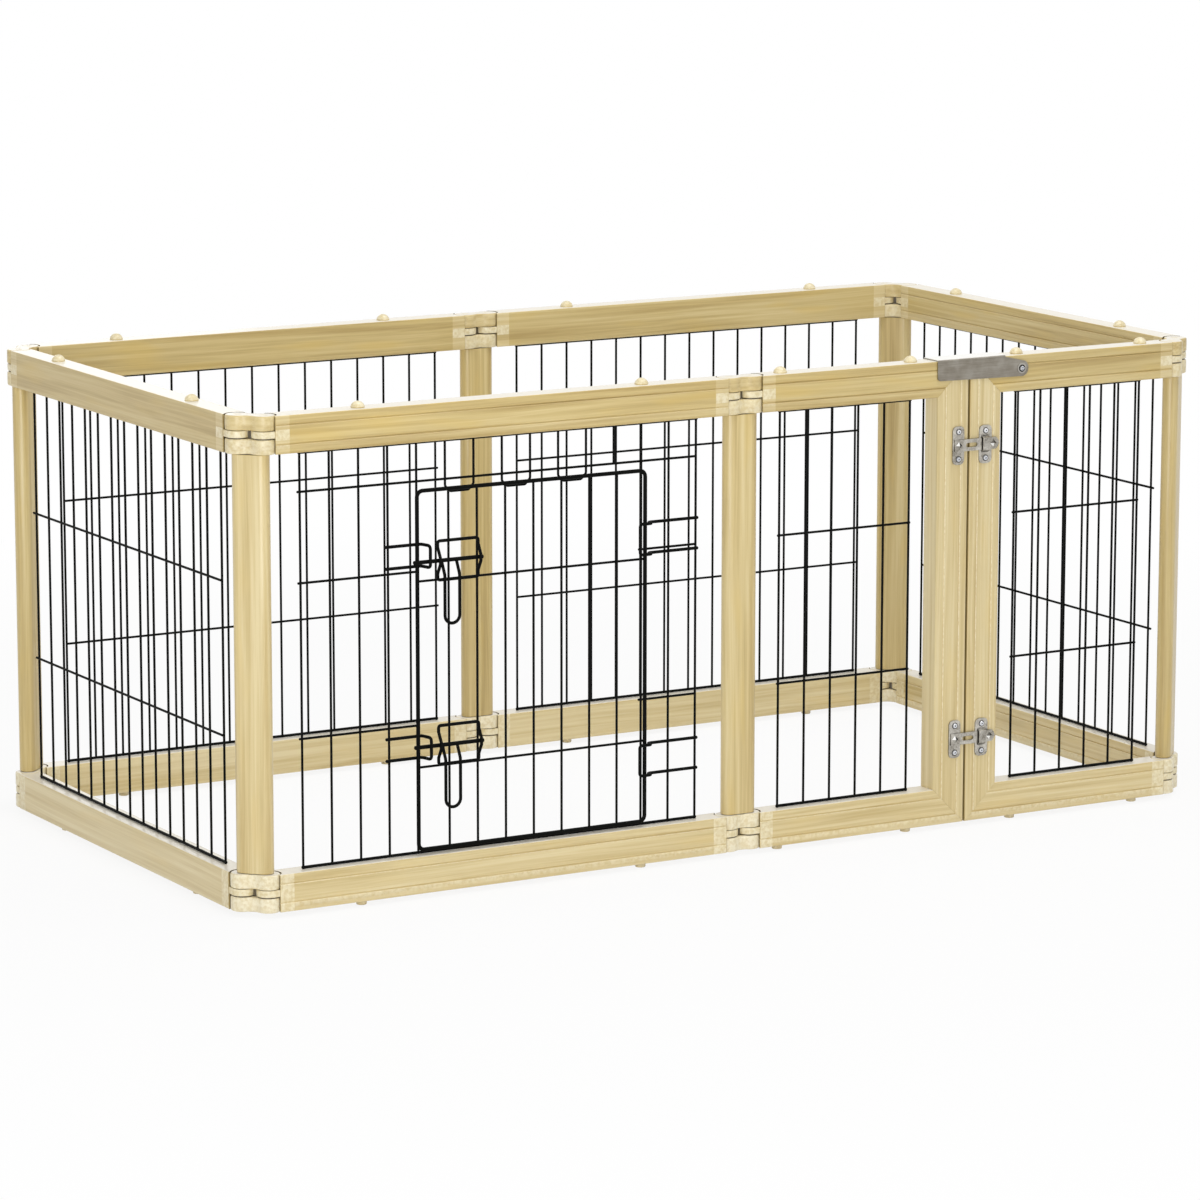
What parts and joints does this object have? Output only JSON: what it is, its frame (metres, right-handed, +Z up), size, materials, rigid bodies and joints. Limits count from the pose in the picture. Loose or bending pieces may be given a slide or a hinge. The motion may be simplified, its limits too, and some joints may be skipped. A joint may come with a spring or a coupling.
{
  "type": "dog playpen",
  "caption": "Rectangular folding pet pen of wooden wire-mesh panels on posts, with a bolted wire door, a double gate with a flip-over clasp and slide latches.",
  "frame": {"origin": "on the floor, under the middle of the pen's overall box", "axes": "+X along the long side, to the right seen from the front; +Y to the back; +Z up"},
  "size_m": [1.3796, 0.72, 0.61],
  "materials": {
    "pine": "clear satin lacquer",
    "link_pine": "clear satin lacquer",
    "black_wire": "satin black coating",
    "clasp_steel": "zinc-plated sheet",
    "latch_steel": "zinc-plated sheet"
  },
  "bodies": {
    "back_mid_post": {"back_mid_post": "pine", "back_mid_top_link": "link_pine", "back_mid_bottom_link": "link_pine"},
    "back_left_panel": {"back_left_top_rail": "pine", "back_left_bottom_rail": "pine", "back_left_mesh": "black_wire"},
    "back_left_post": {"back_left_post": "pine", "back_left_top_link": "link_pine", "back_left_bottom_link": "link_pine"},
    "left_end_panel": {"left_end_top_rail": "pine", "left_end_bottom_rail": "pine", "left_end_mesh": "black_wire"},
    "front_left_post": {"front_left_post": "pine", "front_left_top_link": "link_pine", "front_left_bottom_link": "link_pine"},
    "front_left_panel": {"front_left_top_rail": "pine", "front_left_bottom_rail": "pine", "front_left_mesh": "black_wire"},
    "wire_door": {"wire_door": "black_wire"},
    "upper_bolt": {"upper_slide_bolt": "black_wire"},
    "lower_bolt": {"lower_slide_bolt": "black_wire"},
    "front_mid_post": {"front_mid_post": "pine", "front_mid_top_link": "link_pine", "front_mid_bottom_link": "link_pine"},
    "left_gate": {"left_gate_top_rail": "pine", "left_gate_bottom_rail": "pine", "left_gate_stile": "pine", "left_gate_mesh": "black_wire", "upper_latch_base": "latch_steel", "lower_latch_base": "latch_steel"},
    "upper_latch_arm": {"upper_latch_arm": "latch_steel"},
    "lower_latch_arm": {"lower_latch_arm": "latch_steel"},
    "back_right_panel": {"back_right_top_rail": "pine", "back_right_bottom_rail": "pine", "back_right_mesh": "black_wire"},
    "back_right_post": {"back_right_post": "pine", "back_right_top_link": "link_pine", "back_right_bottom_link": "link_pine"},
    "right_end_panel": {"right_end_top_rail": "pine", "right_end_bottom_rail": "pine", "right_end_mesh": "black_wire"},
    "front_right_post": {"front_right_post": "pine", "front_right_top_link": "link_pine", "front_right_bottom_link": "link_pine"},
    "right_gate": {"right_gate_top_rail": "pine", "right_gate_bottom_rail": "pine", "right_gate_stile": "pine", "right_gate_mesh": "black_wire", "clasp_screw": "latch_steel", "upper_latch_keeper": "latch_steel", "lower_latch_keeper": "latch_steel"},
    "clasp": {"clasp": "clasp_steel"}
  },
  "joints": [
    {"name": "back_left_panel_swing", "type": "hinge", "parent": "back_mid_post", "child": "back_left_panel", "pos_m": [-0.016, 0.34513, 0.03], "axis": [0, 0, -1], "range_deg": [0, 60]},
    {"name": "back_left_post_swing", "type": "hinge", "parent": "back_left_panel", "child": "back_left_post", "pos_m": [-0.6522, 0.34513, 0.03], "axis": [0, 0, -1], "range_deg": [0, 45]},
    {"name": "left_end_panel_swing", "type": "hinge", "parent": "back_left_post", "child": "left_end_panel", "pos_m": [-0.67483, 0.3225, 0.03], "axis": [0, 0, -1], "range_deg": [0, 45]},
    {"name": "front_left_post_swing", "type": "hinge", "parent": "left_end_panel", "child": "front_left_post", "pos_m": [-0.67483, -0.3137, 0.03], "axis": [0, 0, -1], "range_deg": [0, 45]},
    {"name": "front_left_panel_swing", "type": "hinge", "parent": "front_left_post", "child": "front_left_panel", "pos_m": [-0.6522, -0.33633, 0.03], "axis": [0, 0, -1], "range_deg": [0, 45]},
    {"name": "wire_door_swing", "type": "hinge", "parent": "front_left_panel", "child": "wire_door", "pos_m": [-0.1391, -0.34433, 0.3], "axis": [0, 0, -1], "range_deg": [-150, 0]},
    {"name": "upper_bolt_slide", "type": "slide", "parent": "wire_door", "child": "upper_bolt", "axis": [1, 0, 0], "range_m": [0, 0.023]},
    {"name": "lower_bolt_slide", "type": "slide", "parent": "wire_door", "child": "lower_bolt", "axis": [1, 0, 0], "range_m": [0, 0.023]},
    {"name": "front_mid_post_swing", "type": "hinge", "parent": "front_left_panel", "child": "front_mid_post", "pos_m": [-0.016, -0.33633, 0.03], "axis": [0, 0, -1], "range_deg": [-60, 45]},
    {"name": "left_gate_swing", "type": "hinge", "parent": "front_mid_post", "child": "left_gate", "pos_m": [0.016, -0.33633, 0.03], "axis": [0, 0, -1], "range_deg": [0, 60]},
    {"name": "upper_latch_slide", "type": "slide", "parent": "left_gate", "child": "upper_latch_arm", "axis": [1, 0, 0], "range_m": [-0.031, 0]},
    {"name": "lower_latch_slide", "type": "slide", "parent": "left_gate", "child": "lower_latch_arm", "axis": [1, 0, 0], "range_m": [-0.031, 0]},
    {"name": "back_right_panel_swing", "type": "hinge", "parent": "back_mid_post", "child": "back_right_panel", "pos_m": [0.016, 0.34513, 0.03], "axis": [0, 0, 1], "range_deg": [0, 60]},
    {"name": "back_right_post_swing", "type": "hinge", "parent": "back_right_panel", "child": "back_right_post", "pos_m": [0.6522, 0.34513, 0.03], "axis": [0, 0, 1], "range_deg": [0, 45]},
    {"name": "right_end_panel_swing", "type": "hinge", "parent": "back_right_post", "child": "right_end_panel", "pos_m": [0.67483, 0.3225, 0.03], "axis": [0, 0, 1], "range_deg": [0, 45]},
    {"name": "front_right_post_swing", "type": "hinge", "parent": "right_end_panel", "child": "front_right_post", "pos_m": [0.67483, -0.3137, 0.03], "axis": [0, 0, 1], "range_deg": [0, 45]},
    {"name": "right_gate_swing", "type": "hinge", "parent": "front_right_post", "child": "right_gate", "pos_m": [0.6522, -0.33633, 0.03], "axis": [0, 0, 1], "range_deg": [0, 60]},
    {"name": "clasp_flip", "type": "hinge", "parent": "right_gate", "child": "clasp", "pos_m": [0.408, -0.33633, 0.5867], "axis": [0, 1, 0], "range_deg": [0, 100]}
  ]
}
